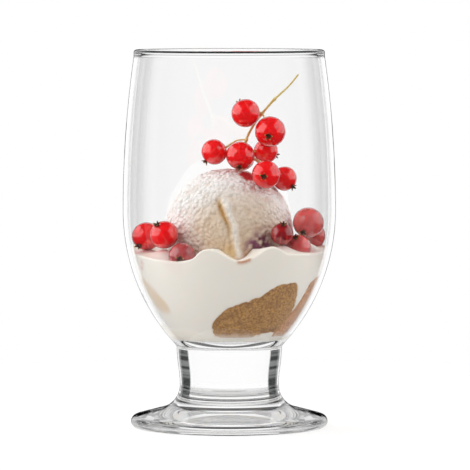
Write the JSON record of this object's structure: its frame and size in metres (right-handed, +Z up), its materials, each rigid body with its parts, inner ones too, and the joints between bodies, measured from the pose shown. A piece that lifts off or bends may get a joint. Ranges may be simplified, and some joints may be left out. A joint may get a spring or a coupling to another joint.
{
  "type": "parfait glass",
  "caption": "Footed parfait glass with a tall tapering bowl, short solid stem and round foot, filled with sponge, cream, an ice cream scoop and red currants; holds and shows a layered dessert.",
  "frame": {"origin": "centre of the foot's underside, on the table", "axes": "+Z up along the glass's axis to the rim, -Y towards the front of the dessert, +X to the right of a viewer in front"},
  "size_m": [0.0744, 0.0744, 0.132],
  "materials": {
    "clear_glass": "clear soda-lime glass, fire polished",
    "whipped_cream": "soft whipped cream, smeared smooth against the glass",
    "sponge_cake": "baked crumb with small open pores",
    "ice_cream": "frozen, finely grained where the scoop tore it",
    "currant_skin": "thin glossy translucent berry skin",
    "green_stalk": "thin woody stalk, yellow green"
  },
  "bodies": {
    "glass": {"bowl": "clear_glass", "stem": "clear_glass", "foot": "clear_glass", "cream": "whipped_cream", "sponge_front": "sponge_cake", "sponge_right": "sponge_cake", "sponge_left": "sponge_cake", "left_currant_1": "currant_skin", "left_currant_2": "currant_skin", "left_currant_3": "currant_skin", "right_currant_1": "currant_skin", "right_currant_2": "currant_skin", "right_currant_3": "currant_skin", "right_currant_4": "currant_skin"},
    "scoop": {"ice_cream_scoop": "ice_cream"},
    "sprig": {"currant_stalk": "green_stalk", "sprig_currant_1": "currant_skin", "sprig_currant_2": "currant_skin", "sprig_currant_3": "currant_skin", "sprig_currant_4": "currant_skin", "sprig_currant_5": "currant_skin", "sprig_currant_6": "currant_skin", "sprig_currant_7": "currant_skin", "sprig_currant_8": "currant_skin"}
  },
  "joints": [
    {"name": "scoop_lift", "type": "slide", "parent": "glass", "child": "scoop", "axis": [0, 0, 1], "range_m": [0, 0.1]},
    {"name": "sprig_lift", "type": "slide", "parent": "scoop", "child": "sprig", "axis": [0, 0, 1], "range_m": [0, 0.06]}
  ]
}
